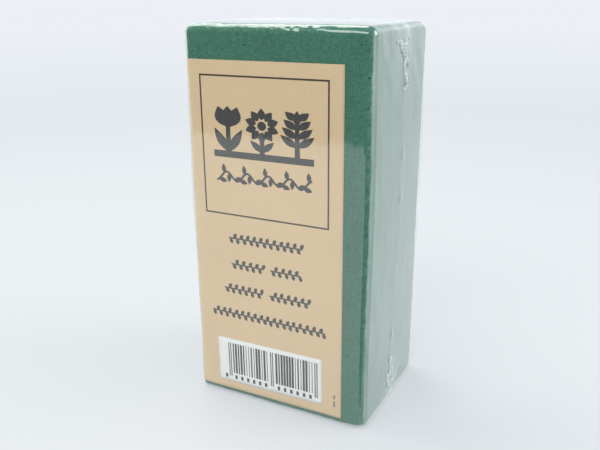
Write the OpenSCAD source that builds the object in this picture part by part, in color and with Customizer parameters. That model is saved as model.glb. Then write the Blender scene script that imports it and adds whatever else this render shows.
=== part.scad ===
// A brick of floral foam in shrink film. A paper label lies on the brick's front face,
// and one centre-folded sheet of clear film is wrapped round both: its fold is on the -X
// side, and it is welded shut along the +X side and across both ends.
//
// The brick stands on one end. +Z is up, the label faces -Y and the origin is the middle
// of the footprint. All sizes are in millimetres.

/* [Brick] */
// Width of the brick, along X
brick_w = 100; // [90:1:120]
// Depth of the brick, along Y
brick_d = 75; // [60:1:90]
// Height of the brick as it stands, along Z
brick_h = 200; // [190:1:240]
// Radius that the shrinking film presses on every edge of the foam
edge_r = 4; // [2:0.5:8]

/* [Label] */
// Width of the paper label
label_w = 86.5; // [70:0.5:88]
// Height of the paper label
label_h = 180.5; // [150:0.5:186]
// How far the label's left edge is from the brick's left side
label_left = 0.6; // [0.5:0.1:3]
// How far the label's lower edge is from the brick's lower end
label_foot = 3.1; // [1:0.1:4]
// Thickness of the paper
label_t = 0.2; // [0.15:0.01:0.5]

/* [Barcode sticker] */
// Width of the white barcode sticker
sticker_w = 63.5; // [40:0.5:66]
// Height of the white barcode sticker
sticker_h = 26.5; // [15:0.5:40]
// How far the sticker's left edge is from the brick's left side
sticker_left = 13; // [8:0.5:14]
// How far the sticker's lower edge is from the brick's lower end
sticker_foot = 7.9; // [5:0.1:12]
// How deep the sticker is let into the label's face
sticker_t = 0.1; // [0.08:0.01:0.14]

/* [Film] */
// Thickness of the film
film_t = 0.12; // [0.08:0.01:0.3]
// How far behind the middle of the side the welds run
weld_back = 2; // [-10:0.5:12]
// Width of a weld's bead
bead_w = 1; // [0.6:0.1:2]
// How far a bead stands above the film
bead_rise = 0.5; // [0.2:0.1:1]

/* [Film ears] */
// Width of an ear at the welded side
ear_w = 17; // [10:0.5:22]
// Height of an ear at the welded side
ear_h = 21; // [12:0.5:30]
// Size of the ears on the folded side, as a share of the welded side's
fold_ear_share = 0.7; // [0.5:0.05:1]
// Thickness of the gathered film in an ear
ear_t = 0.4; // [0.2:0.05:0.8]
// Radius of an ear's rounded tips
ear_tip_r = 1.5; // [0.8:0.1:2.5]

/* [Hidden] */

// Facets round each rounded edge and each rounded tip
edge_fn = 24;
// Room by which a cutting shape passes the faces that it cuts
past = 1;

// The film is stretched over the label, so it clears the bare foam by the label's thickness.
film_in = label_t;
film_out = film_in + film_t;
foam_foot = film_out;
foam_top = foam_foot + brick_h;
foam_mid = foam_foot + brick_h / 2;
foam_side = brick_w / 2;
foam_front = -brick_d / 2;

// A sphere's outermost rings of facets lie inside its radius by this factor.
facet_reach = cos(180 / edge_fn);

// How far the ears keep from the brick's ends, so that they lie on the flat of a side
ear_gap = edge_r + ear_tip_r;

// The block of foam, rounded on every edge and grown by the given amount
module block(grow) {
    reach = [brick_w / 2, brick_d / 2, brick_h / 2] - [edge_r, edge_r, edge_r];
    translate([0, 0, foam_mid])
        hull()
            for (sx = [-1, 1], sy = [-1, 1], sz = [-1, 1])
                translate([sx * reach.x, sy * reach.y, sz * reach.z])
                    sphere((edge_r + grow) / facet_reach, $fn = edge_fn);
}

// A sheet on the foam's front face, which follows the rounded edges. It lies between two
// distances from the foam, and left and foot are measured from the brick's left side and
// lower end.
module front_sheet(left, foot, w, h, from, to) {
    intersection() {
        difference() {
            block(to);
            block(from);
        }
        translate([left - foam_side, foam_front - past, foam_foot + foot])
            cube([w, past + edge_r, h]);
    }
}

module sticker_sheet() {
    front_sheet(sticker_left, sticker_foot, sticker_w, sticker_h, label_t - sticker_t, label_t);
}

// Bead up the welded side, between the two ears
module side_bead() {
    low = foam_foot + ear_gap + ear_h;
    translate([foam_side + film_in, weld_back - bead_w / 2, low])
        cube([film_t + bead_rise, bead_w, foam_top - ear_gap - ear_h - low]);
}

// Bead across one end, over the flat part of the end
module end_bead(z, h) {
    translate([edge_r - foam_side, weld_back - bead_w / 2, z])
        cube([brick_w - 2 * edge_r, bead_w, h]);
}

module top_bead() {
    end_bead(foam_top + film_in, film_t + bead_rise);
}

// The lower bead is pressed flush with the film, into the film's clearance.
module bottom_bead() {
    end_bead(0, film_out);
}

// A gathered ear of film, folded flat: a triangle that hangs from z = 0 with its tip down
module ear(w, h) {
    rotate([90, 0, 90])
        linear_extrude(ear_t)
            hull() {
                for (s = [-1, 1])
                    translate([s * (w / 2 - ear_tip_r), -ear_tip_r])
                        circle(ear_tip_r, $fn = edge_fn);
                translate([0, ear_tip_r - h])
                    circle(ear_tip_r, $fn = edge_fn);
            }
}

// An ear on the +X side, at the top or, turned over, at the bottom
module side_ear(share, top) {
    translate([foam_side + film_out, weld_back, top ? foam_top - ear_gap : foam_foot + ear_gap])
        mirror([0, 0, top ? 0 : 1])
            ear(ear_w * share, ear_h * share);
}

module foam_brick() {
    color("darkslategray") block(0);
}

module paper_label() {
    color("tan")
        difference() {
            front_sheet(label_left, label_foot, label_w, label_h, 0, label_t);
            sticker_sheet();
        }
}

module barcode_sticker() {
    color("ivory") sticker_sheet();
}

// The film is open along each weld, where the bead fills the gap.
module shrink_film() {
    color("lightcyan", 0.4)
        difference() {
            block(film_out);
            block(film_in);
            side_bead();
            top_bead();
            bottom_bead();
        }
}

module side_weld() {
    color("azure") side_bead();
}

module top_weld() {
    color("azure") top_bead();
}

module bottom_weld() {
    color("azure") bottom_bead();
}

module ear_top_welded() {
    color("azure") side_ear(1, true);
}

module ear_bottom_welded() {
    color("azure") side_ear(1, false);
}

module ear_top_folded() {
    color("azure") mirror([1, 0, 0]) side_ear(fold_ear_share, true);
}

module ear_bottom_folded() {
    color("azure") mirror([1, 0, 0]) side_ear(fold_ear_share, false);
}

foam_brick();
paper_label();
barcode_sticker();
shrink_film();
side_weld();
top_weld();
bottom_weld();
ear_top_welded();
ear_bottom_welded();
ear_top_folded();
ear_bottom_folded();
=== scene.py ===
"""Floral foam brick: a block of foam with a kraft paper label, shut in clear shrink film.

The brick stands on one end, in metres, with +Z up, the label facing -Y and the film's long
weld on the +X side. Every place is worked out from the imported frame's boxes.
"""

import functools
import math

import bmesh
import bpy
from mathutils import Matrix, Vector, geometry, noise


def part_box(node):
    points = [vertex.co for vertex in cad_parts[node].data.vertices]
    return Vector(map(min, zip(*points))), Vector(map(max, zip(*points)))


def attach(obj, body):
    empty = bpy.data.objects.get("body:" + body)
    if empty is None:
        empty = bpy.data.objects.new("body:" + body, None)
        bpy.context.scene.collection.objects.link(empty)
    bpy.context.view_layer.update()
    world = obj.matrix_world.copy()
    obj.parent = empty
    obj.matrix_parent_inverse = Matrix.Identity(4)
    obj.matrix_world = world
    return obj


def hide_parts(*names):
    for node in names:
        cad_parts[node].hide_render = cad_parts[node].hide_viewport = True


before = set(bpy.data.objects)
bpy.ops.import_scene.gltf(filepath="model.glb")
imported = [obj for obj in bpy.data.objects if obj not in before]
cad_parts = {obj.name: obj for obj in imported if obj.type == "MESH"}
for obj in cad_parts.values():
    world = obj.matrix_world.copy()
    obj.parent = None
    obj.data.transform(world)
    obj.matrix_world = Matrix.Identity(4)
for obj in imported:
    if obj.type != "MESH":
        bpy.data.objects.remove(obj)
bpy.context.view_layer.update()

bl_info = {
    "name": "Floral Foam Brick",
    "version": (1, 0, 0),
    "blender": (4, 5, 0),
    "location": "3D View > Sidebar > Foam Brick",
    "description": "Builds a brick of floral foam with its label and shrink film",
    "category": "Add Mesh",
}

BODY = "root"
MM = 0.001
# Radius that the film presses on every edge of the brick
EDGE_RADIUS = 4 * MM
# Colour of the backdrop, and of the table far from the brick
BACKDROP = (0.84, 0.87, 0.92)
# Glow of the table round the brick, which keeps its shadows pale
TABLE_GLOW = (0.78, 0.825, 0.865)

# The boxes that everything is placed from
FOAM_LO, FOAM_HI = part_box("foam_brick")
LABEL_LO, LABEL_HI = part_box("paper_label")
STICKER_LO, STICKER_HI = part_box("barcode_sticker")
FILM_LO, FILM_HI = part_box("shrink_film")
SIDE_WELD_LO, SIDE_WELD_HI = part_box("side_weld")
TOP_WELD_LO, TOP_WELD_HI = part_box("top_weld")
BOTTOM_WELD_LO, BOTTOM_WELD_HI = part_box("bottom_weld")

# How far the label's outer face stands off the foam
LABEL_PROUD = FOAM_LO.y - LABEL_LO.y
LABEL_MID = (LABEL_LO + LABEL_HI) / 2
STICKER_MID = (STICKER_LO + STICKER_HI) / 2
# The line behind the middle of the brick that all three welds follow
WELD_Y = (SIDE_WELD_LO.y + SIDE_WELD_HI.y) / 2


# ---- settings


def length(name, description, default):
    return bpy.props.FloatProperty(name=name, description=description, default=default,
                                   subtype="DISTANCE", unit="LENGTH")


def angle(name, description, degrees):
    return bpy.props.FloatProperty(name=name, description=description,
                                   default=math.radians(degrees), subtype="ANGLE",
                                   unit="ROTATION")


def share(name, description, default):
    return bpy.props.FloatProperty(name=name, description=description, default=default,
                                   subtype="FACTOR", min=0, max=1)


def colour_of(name, description, default):
    return bpy.props.FloatVectorProperty(name=name, description=description, default=default,
                                         subtype="COLOR", size=3, min=0, max=1)


class FoamSettings(bpy.types.PropertyGroup):
    """Sizes and colours of the foam."""

    colour: colour_of("Colour", "Base colour of the foam", (0.053, 0.168, 0.113))
    dust_colour: colour_of("Dust colour", "Colour of crushed foam and crumbs", (0.2, 0.38, 0.29))
    edge_radius: length("Edge radius", "Radius pressed on the edges by the film", EDGE_RADIUS)
    mesh_step: length("Mesh step", "Size of a face on the flat sides", 1.3 * MM)
    crush_depth: length("Crush depth", "How far the edges are crumbled away", 0.35 * MM)
    dent_depth: length("Dent depth", "Depth of the broad dents in the sides", 0.12 * MM)
    cell_size: length("Cell size", "Width of one foam cell", 0.45 * MM)
    pore_gap: length("Pore gap", "Usual distance between open pores", 3.7 * MM)


class LabelSettings(bpy.types.PropertyGroup):
    """Sizes and colours of the paper label and its print."""

    paper_colour: colour_of("Paper colour", "Colour of the kraft paper", (0.70, 0.53, 0.325))
    ink_colour: colour_of("Ink colour", "Colour of the dark print", (0.036, 0.034, 0.032))
    line_colour: colour_of("Line colour", "Colour of the square frame", (0.04, 0.024, 0.01))
    paper_thickness: length("Paper thickness", "Thickness of the label", 0.12 * MM)
    ink_thickness: length("Ink thickness", "How far the print stands off the paper", 0.03 * MM)
    turn: angle("Turn", "How far the label is turned on the face, anticlockwise", 0.25)
    frame_side: length("Frame side", "Outer side of the printed square frame", 70.9 * MM)
    frame_shift: length("Frame shift", "From the label's middle to the frame's, to the right",
                        0.5 * MM)
    frame_line: length("Frame line", "Width of the frame's line", 0.85 * MM)
    frame_top_gap: length("Frame top gap", "From the label's top edge to the frame", 7.0 * MM)


class StickerSettings(bpy.types.PropertyGroup):
    """Sizes and colours of the barcode sticker."""

    paper_colour: colour_of("Paper colour", "Colour of the white paper", (0.8, 0.81, 0.77))
    bar_colour: colour_of("Bar colour", "Colour of the bars", (0.03, 0.03, 0.032))
    turn: angle("Turn", "How far the sticker is turned on the label, anticlockwise", 0.85)
    bar_field_width: length("Bar field width", "Width of the whole bar pattern", 54 * MM)
    bar_height: length("Bar height", "Height of the usual bars", 18.4 * MM)
    bars_a_half: bpy.props.IntProperty(
        name="Bars a half", description="Bars in each half of the pattern", default=14)
    seed: bpy.props.IntProperty(
        name="Seed", description="Fixes the made-up pattern of bar widths", default=7)


class FilmSettings(bpy.types.PropertyGroup):
    """Sizes and looks of the shrink film, its welds and its ears."""

    tint: colour_of("Tint", "Colour of what the film mirrors", (1.0, 0.99, 0.98))
    haze_colour: colour_of("Haze colour", "Colour of the milky part of the film",
                           (0.78, 0.87, 0.84))
    head_on_mirror: share("Head-on mirror", "Share of light one face mirrors head on", 0.053)
    haze: share("Haze", "Milky share of the tight film", 0.012)
    slant_haze: share("Slant haze", "Milky share added where the film is looked along", 0.09)
    # partly painted glare: a milky veil that stands in for part of the side's reflection
    side_haze_and_glare: share("Side haze", "Milky share added on the loose, narrow sides", 0.4)
    mesh_step: length("Mesh step", "Size of a face on the flat sides", 1.3 * MM)
    pillow: length("Pillow", "How far trapped air lifts the film on the top", 0.9 * MM)
    belly: length("Belly", "How far the film stands off the narrow sides", 1.1 * MM)
    slack: length("Slack", "Height of the broad waves in the film", 0.06 * MM)
    pucker: length("Pucker", "Height of the creases that run into an ear", 0.22 * MM)
    bead_radius: length("Bead radius", "Radius of the welded bead", 0.2 * MM)
    pleat_height: length("Pleat height", "Height of the pleats in an ear", 0.7 * MM)


class StageSettings(bpy.types.PropertyGroup):
    """The camera, the table and the lights."""

    lens: bpy.props.FloatProperty(
        name="Lens", description="Focal length", subtype="DISTANCE_CAMERA", default=41.263)
    eye: bpy.props.FloatVectorProperty(
        name="Eye", description="Where the camera stands",
        subtype="XYZ", unit="LENGTH", size=3, default=(0.1605, -0.3205, 0.2133))
    heading: angle("Heading", "Turn of the view from +Y towards -X", 27.37)
    pitch: angle("Pitch", "How far the camera looks down", 18.53)
    roll: angle("Roll", "Tilt of the camera", -0.26)
    floor_colour: colour_of("Floor colour", "Colour of the table", (0.56, 0.565, 0.555))
    table_front: length("Table front", "From the label face to the table's front edge", 0.635)


SETTINGS = {
    "foam_brick_foam": FoamSettings,
    "foam_brick_label": LabelSettings,
    "foam_brick_sticker": StickerSettings,
    "foam_brick_film": FilmSettings,
    "foam_brick_stage": StageSettings,
}


# ---- small sums


def ramp(value, low, high):
    """0 up to low, 1 from high, and a smooth climb between them."""
    t = min(1.0, max(0.0, (value - low) / (high - low)))
    return t * t * (3 - 2 * t)


def clamp(value, low, high):
    return min(high, max(low, value))


def ripple(point, pitch, shift=0.0):
    """Smooth noise from -1 to 1 with features about pitch wide."""
    return noise.noise(Vector(point) / pitch + Vector((shift, shift * 1.7, shift * 0.6)))


def evenly(low, high, steps):
    """Evenly spaced numbers from low to high."""
    return [low + (high - low) * i / steps for i in range(steps + 1)]


# ---- mesh helpers


def new_object(name, mesh):
    obj = bpy.data.objects.new(name, mesh)
    bpy.context.scene.collection.objects.link(obj)
    return obj


def empty_object(name):
    return new_object(name, bpy.data.meshes.new(name))


def mesh_object(name, points, faces):
    mesh = bpy.data.meshes.new(name)
    mesh.from_pydata([tuple(p) for p in points], [], faces)
    mesh.validate()
    mesh.polygons.foreach_set("use_smooth", [True] * len(mesh.polygons))
    mesh.update()
    return new_object(name, mesh)


def point_attribute(obj, name, values):
    """Stores one number for each point, for the materials to read."""
    layer = obj.data.attributes.new(name, "FLOAT", "POINT")
    layer.data.foreach_set("value", values)


def finish_piece(obj, material, slot, *nodes):
    """Gives a piece its material and its body, and hides the CAD nodes it stands for; slot is not
    used.
    """
    if not obj.data.materials:
        obj.data.materials.append(material)
    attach(obj, BODY)
    if nodes:
        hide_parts(*nodes)
    return obj


def applied(obj, name):
    """A plain mesh object with obj's modifiers worked in. obj itself is removed."""
    graph = bpy.context.evaluated_depsgraph_get()
    mesh = bpy.data.meshes.new_from_object(obj.evaluated_get(graph))
    bpy.data.objects.remove(obj)
    mesh.name = name
    return new_object(name, mesh)


def sheet_object(name, points, wide, tall, thickness, turned_over=False, gathered=None):
    """A thin sheet whose outer face has the given rows of points, wide by tall squares."""
    row = wide + 1
    faces = []
    for a in (j * row + i for j in range(tall) for i in range(wide)):
        ring = (a, a + 1, a + row + 1, a + row)
        faces.append(ring[::-1] if turned_over else ring)
    sheet = mesh_object(name, points, faces)
    if gathered:
        point_attribute(sheet, "gathered", gathered)
    solid = sheet.modifiers.new("Thickness", "SOLIDIFY")
    solid.thickness = thickness
    solid.offset = -1
    return applied(sheet, name)


def joined(objects, name):
    """One object that holds all the given objects' meshes."""
    bm = bmesh.new()
    for obj in objects:
        bm.from_mesh(obj.data)
    mesh = bpy.data.meshes.new(name)
    bm.to_mesh(mesh)
    bm.free()
    for material in objects[0].data.materials:
        mesh.materials.append(material)
    for obj in objects:
        bpy.data.objects.remove(obj)
    return new_object(name, mesh)


def stops(half, radius, step, arc_steps):
    """Places along one axis of a rounded block: even on the flat, even angles on the edges."""
    flat = half - radius
    count = max(2, round(2 * flat / step))
    middle = [flat * (2 * i / count - 1) for i in range(count + 1)]
    arc = [flat + radius * math.tan(math.pi / 4 * i / arc_steps) for i in range(1, arc_steps + 1)]
    return [-a for a in reversed(arc)] + middle + arc


def rounded_block(lo, hi, radius, step, arc_steps):
    """Points, outward normals and faces of a block with rounded edges, in even squares."""
    centre, half = (lo + hi) / 2, (hi - lo) / 2
    grid = [stops(half[a], radius, step, arc_steps) for a in range(3)]
    last = [len(g) - 1 for g in grid]
    core = [half[a] - radius for a in range(3)]
    points, normals, faces, number = [], [], [], {}

    def corner(*at):
        if at not in number:
            p = Vector([grid[a][at[a]] for a in range(3)])
            inner = Vector([clamp(p[a], -core[a], core[a]) for a in range(3)])
            out = (p - inner).normalized()
            number[at] = len(points)
            points.append(centre + inner + out * radius)
            normals.append(out)
        return number[at]

    for axis in range(3):
        u, v = (axis + 1) % 3, (axis + 2) % 3
        for side in (0, last[axis]):
            for i in range(last[u]):
                for j in range(last[v]):
                    ring = []
                    for di, dj in ((0, 0), (1, 0), (1, 1), (0, 1)):
                        at = [0, 0, 0]
                        at[axis], at[u], at[v] = side, i + di, j + dj
                        ring.append(corner(*at))
                    faces.append(ring if side else ring[::-1])
    return points, normals, faces


def slab_object(name, outlines, y_back, y_front):
    """A closed flat slab in the shape of all the outlines of (x, z) points together."""
    places, rings = [], []
    for outline in outlines:
        following = outline[1:] + outline[:1]
        area = sum(x0 * z1 - x1 * z0 for (x0, z0), (x1, z1) in zip(outline, following))
        ring = outline if area > 0 else outline[::-1]
        rings.append(list(range(len(places), len(places) + len(ring))))
        places += [Vector(p) for p in ring]
    corners, _, faces, _, _, owners = geometry.delaunay_2d_cdt(places, [], rings, 0, 1e-6)
    bm = bmesh.new()
    front = [bm.verts.new((c.x, y_front, c.y)) for c in corners]
    for face, owner in zip(faces, owners):
        if owner:
            bm.faces.new([front[i] for i in face])
    bmesh.ops.delete(bm, geom=[v for v in bm.verts if not v.link_faces], context="VERTS")
    grown = bmesh.ops.extrude_face_region(bm, geom=bm.faces[:])["geom"]
    moved = [g for g in grown if isinstance(g, bmesh.types.BMVert)]
    bmesh.ops.translate(bm, verts=moved, vec=(0, y_back - y_front, 0))
    bmesh.ops.recalc_face_normals(bm, faces=bm.faces)
    mesh = bpy.data.meshes.new(name)
    bm.to_mesh(mesh)
    bm.free()
    return new_object(name, mesh)


def turned_about(middle, turn):
    """A small turn, anticlockwise as seen from the front, about a point of the front face."""
    return Matrix.Translation(middle) @ Matrix.Rotation(-turn, 4, "Y") @ Matrix.Translation(-middle)


# ---- node trees


class Value:
    """A number, vector or colour in a node tree. Sums with it become Math nodes."""

    def __init__(self, graph, socket):
        self.graph, self.socket = graph, socket

    def math(self, operation, *others):
        return self.graph.math(operation, self, *others)

    __add__ = functools.partialmethod(math, "ADD")
    __sub__ = functools.partialmethod(math, "SUBTRACT")
    __mul__ = functools.partialmethod(math, "MULTIPLY")
    __truediv__ = functools.partialmethod(math, "DIVIDE")
    __pow__ = functools.partialmethod(math, "POWER")
    __abs__ = functools.partialmethod(math, "ABSOLUTE")

    def __rsub__(self, other):
        return self.graph.math("SUBTRACT", other, self)

    def __rtruediv__(self, other):
        return self.graph.math("DIVIDE", other, self)

    def spread(self, low, high, to_low=0.0, to_high=1.0, **more):
        """A Map Range node's value: low to high becomes to_low to to_high."""
        return self.graph.node("ShaderNodeMapRange", Value=self, From_Min=low, From_Max=high,
                               To_Min=to_low, To_Max=to_high, **more)["Result"]


class Node:
    """A node of a graph. Its outputs are read as Values, by name or by number."""

    def __init__(self, graph, node):
        self.graph, self.node = graph, node

    def __getitem__(self, key):
        return Value(self.graph, self.node.outputs[key])


class Graph:
    """A node tree that is being filled in."""

    def __init__(self, tree):
        self.tree = tree
        tree.nodes.clear()

    def put(self, target, value):
        """Links an input to a Value, or sets it."""
        if isinstance(value, Value):
            self.tree.links.new(value.socket, target)
        else:
            target.default_value = value

    def node(self, kind, **given):
        """A new node. A name in small letters is a choice on the node, i and a number is that
        input, and any other name is an input's, with _ for its spaces."""
        made = self.tree.nodes.new(kind)
        for key, value in given.items():
            if key[1:].isdigit():
                self.put(made.inputs[int(key[1:])], value)
            elif key[0].islower():
                setattr(made, key, value)
            else:
                self.put(made.inputs[key.replace("_", " ")], value)
        return Node(self, made)

    def math(self, operation, *values):
        numbered = {f"i{number}": value for number, value in enumerate(values)}
        return self.node("ShaderNodeMath", operation=operation, **numbered)[0]

    def vector(self, x=0.0, y=0.0, z=0.0):
        return self.node("ShaderNodeCombineXYZ", i0=x, i1=y, i2=z)[0]

    def blend(self, factor, first, second, mode="MIX"):
        """A colour Mix node's colour."""
        a, b = [c if isinstance(c, Value) else (*c[:3], 1.0) for c in (first, second)]
        return self.node("ShaderNodeMix", data_type="RGBA", blend_type=mode,
                         i0=factor, i6=a, i7=b)[2]

    def place(self):
        """The place on the piece."""
        return self.node("ShaderNodeTexCoord")["Object"]

    def noise(self, where, pitch, detail=2.0, roughness=0.5):
        return self.node("ShaderNodeTexNoise", Vector=where, Scale=1 / pitch, Detail=detail,
                         Roughness=roughness)["Fac"]

    def attribute(self, name):
        return self.node("ShaderNodeAttribute", attribute_name=name)["Fac"]

    def finish(self, **results):
        """Leads the results out of a node group."""
        self.node("NodeGroupOutput", **results)
        return self.tree

    def finish_geometry(self, instances):
        """Makes the instances real, gives them their material and leads them out."""
        real = self.node("GeometryNodeRealizeInstances", Geometry=instances)
        painted = self.node("GeometryNodeSetMaterial", Geometry=real[0],
                            Material=self.given["Material"])
        return self.finish(Geometry=painted[0])


def new_group(kind, name, inputs, outputs):
    """An empty node group with named inputs and outputs."""
    tree = bpy.data.node_groups.new(name, kind)
    for in_out, sockets in (("OUTPUT", outputs), ("INPUT", inputs)):
        for label, value in sockets.items():
            tree.interface.new_socket(label, in_out=in_out, socket_type="NodeSocket" + value)
    graph = Graph(tree)
    graph.given = graph.node("NodeGroupInput")
    return graph


def geometry_group(name, inputs):
    """An empty geometry tree with named inputs and a material."""
    return new_group("GeometryNodeTree", name, {**inputs, "Material": "Material"},
                     {"Geometry": "Geometry"})


def run_tree(obj, tree, name, **inputs):
    """Puts a geometry tree on obj, sets its inputs by identifier, and returns the plain mesh."""
    modifier = obj.modifiers.new(tree.name, "NODES")
    modifier.node_group = tree
    for item in tree.interface.items_tree:
        if item.item_type != "SOCKET" or item.in_out != "INPUT":
            continue
        key = item.name.replace(" ", "_")
        if key in inputs:
            modifier[item.identifier] = inputs[key]
    return applied(obj, name)


def new_material(name):
    """A node material with nothing in it yet, and its graph."""
    material = bpy.data.materials.new(name)
    material.use_nodes = True
    return material, Graph(material.node_tree)


def surfaced(material, g, shader):
    """Leads a shader to the material's surface."""
    g.node("ShaderNodeOutputMaterial", Surface=shader[0])
    return material


def matt(material, g, colour, roughness, height, depth, strength, specular=0.5):
    """Finishes a matt material from its colour and the height of its bumps."""
    bump = g.node("ShaderNodeBump", Height=height, Distance=depth, Strength=strength)
    return surfaced(material, g, g.node(
        "ShaderNodeBsdfPrincipled", Base_Color=colour, Roughness=roughness, Normal=bump[0],
        Specular_IOR_Level=specular))


def shaded(colour, factor, lift=0.0):
    """A lighter or darker version of a colour."""
    return [min(1.0, c * factor + lift) for c in colour]


# ---- shared effects


def shared(name):
    """Has a node group built the first time it is asked for, and found by name after that."""
    def wrap(build):
        return lambda: bpy.data.node_groups.get(name) or build(name)
    return wrap


@shared("Foam cells")
def cell_grain_group(name):
    """The fine cells of the foam: a value for the colour, a mask of the open pores for the painted
    shade in them, and a height.
    """
    g = new_group("ShaderNodeTree", name,
                  {"Vector": "Vector", "Cell Size": "Float", "Pore Gap": "Float"},
                  {"Grain": "Float", "Pores": "Float", "Height": "Float"})
    where = g.given["Vector"]
    fine = 1.0 / g.given["Cell Size"]
    cells = g.node("ShaderNodeTexVoronoi", Vector=where, Scale=fine)
    clouds = g.node("ShaderNodeTexNoise", Vector=where, Scale=fine * 0.35, Detail=3.0,
                    Roughness=0.6)
    grain = cells["Distance"] * 0.7 + clouds["Fac"] * 0.5
    # open pores: the middles of the few widest cells of a coarse pattern
    pores = g.node("ShaderNodeTexVoronoi", Vector=where, Scale=1.0 / g.given["Pore Gap"])
    picked = g.node("ShaderNodeSeparateColor", Color=pores["Color"])
    size = picked["Red"].spread(0.4, 1.0, 0.0, 0.13)
    hole = (size - pores["Distance"]).spread(-0.004, 0.02)
    return g.finish(Grain=grain, Pores=hole, Height=grain * 0.6 - hole)


@shared("Paper fibres")
def paper_fibre_group(name):
    """Paper fibres that cross: a value for the colour, dark flecks, and a height."""
    g = new_group("ShaderNodeTree", name, {"Vector": "Vector", "Fibre Width": "Float"},
                  {"Fibres": "Float", "Flecks": "Float", "Height": "Float"})
    fine = 1.0 / g.given["Fibre Width"]
    layers = []
    for degrees, squeeze in ((0, 0.25), (68, 0.3)):
        turned = g.node("ShaderNodeMapping", Vector=g.given["Vector"], Scale=(squeeze, 1.0, 1.0),
                        Rotation=(0.0, math.radians(degrees), 0.0))[0]
        layers.append(g.node("ShaderNodeTexNoise", Vector=turned, Scale=fine, Detail=3.0,
                             Roughness=0.55, Distortion=0.4)["Fac"])
    fibres = (layers[0] + layers[1]) * 0.5
    spots = g.node("ShaderNodeTexVoronoi", Vector=turned, Scale=fine * 0.16)
    flecks = spots["Distance"].spread(0.11, 0.05)
    return g.finish(Fibres=fibres, Flecks=flecks, Height=fibres)


@shared("Film ripples")
def film_ripple_group(name):
    """Fine ripples of drawn film, as a normal, and its creases."""
    g = new_group("ShaderNodeTree", name,
                  {"Vector": "Vector", "Strength": "Float", "Pitch": "Float", "Crease": "Float"},
                  {"Normal": "Vector", "Creases": "Float"})
    where = g.given["Vector"]
    scale = 1.0 / g.given["Pitch"]
    long_way = g.node("ShaderNodeMapping", Vector=where, Scale=(1.0, 1.0, 0.22))
    broad = g.node("ShaderNodeTexNoise", Vector=long_way[0], Scale=scale, Detail=2.0,
                   Roughness=0.45, Distortion=0.6)
    sharp = g.node("ShaderNodeTexNoise", Vector=where, Scale=scale * 4.5, Detail=3.0,
                   Roughness=0.6, Distortion=1.2)
    creases = abs(sharp["Fac"] - 0.5).spread(0.06, 0.0) * g.given["Crease"]
    bump = g.node("ShaderNodeBump", Height=broad["Fac"] + creases * 0.45, Distance=0.35 * MM,
                  Strength=g.given["Strength"])
    return g.finish(Normal=bump[0], Creases=creases)


# ---- materials


def foam_material(settings):
    """Dull green foam: fine cells, open pores darkened with painted shade, and paler crushed edges.
    """
    material, g = new_material("Floral foam")
    where = g.place()
    cells = g.node("ShaderNodeGroup", node_tree=cell_grain_group(), Vector=where,
                   Cell_Size=settings.cell_size, Pore_Gap=settings.pore_gap)
    clouds = g.noise(where, 28 * MM, 4.0).spread(0.3, 0.7)
    colour = g.blend(clouds, shaded(settings.colour, 0.93), shaded(settings.colour, 1.07))
    lumps = g.noise(where, 1.3 * MM, 2.0, 0.7).spread(0.35, 0.65, 0.84, 1.16)
    grain = cells["Grain"].spread(0.25, 0.85, 0.78, 1.18) * lumps
    grey = g.node("ShaderNodeCombineColor", Red=grain, Green=grain, Blue=grain)
    colour = g.blend(1.0, colour, grey[0], "MULTIPLY")
    worn = g.attribute("crushed") * g.noise(where, 2.2 * MM, 4.0, 0.65).spread(0.42, 0.66)
    colour = g.blend(worn * 0.5, colour, settings.dust_colour)
    # painted shade: the open pores are coloured almost black, as if shadowed inside
    colour = g.blend(cells["Pores"], colour, shaded(settings.colour, 0.12))
    return matt(material, g, colour, 0.93, cells["Height"], 0.15 * MM, 0.7, 0.15)


def crumb_material(settings):
    """Loose foam dust, paler than the block."""
    material, g = new_material("Foam crumbs")
    where = g.place()
    tone = g.noise(where, 1.5 * MM).spread(0.3, 0.7)
    colour = g.blend(tone, settings.colour, settings.dust_colour)
    return matt(material, g, colour, 0.95, g.noise(where, 0.15 * MM), 0.05 * MM, 0.8)


def paper_material(name, colour, fibre_width, contrast, fleck_share):
    """Uncoated paper: crossed fibres, a few dark flecks and a slow change of tone."""
    material, g = new_material(name)
    where = g.place()
    paper = g.node("ShaderNodeGroup", node_tree=paper_fibre_group(), Vector=where,
                   Fibre_Width=fibre_width)
    dark = shaded(colour, 1 - contrast)
    tone = paper["Fibres"].spread(0.35, 0.65)
    shade = g.blend(tone, dark, shaded(colour, 1 + contrast))
    shade = g.blend(g.noise(where, 45 * MM, 3.0).spread(0.3, 0.7, 0.0, 0.5), shade, dark)
    shade = g.blend(paper["Flecks"] * fleck_share, shade, shaded(colour, 0.55))
    return matt(material, g, shade, 0.82, paper["Height"], 0.03 * MM, 0.5, 0.3)


def ink_material(name, colour):
    """Ink on uncoated paper: slightly uneven, with the fibres showing through."""
    material, g = new_material(name)
    paper = g.node("ShaderNodeGroup", node_tree=paper_fibre_group(), Vector=g.place(),
                   Fibre_Width=0.25 * MM)
    worn = paper["Fibres"].spread(0.38, 0.7)
    shade = g.blend(worn, colour, shaded(colour, 1.9, 0.012))
    return matt(material, g, shade, 0.62, paper["Height"], 0.02 * MM, 0.4)


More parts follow.
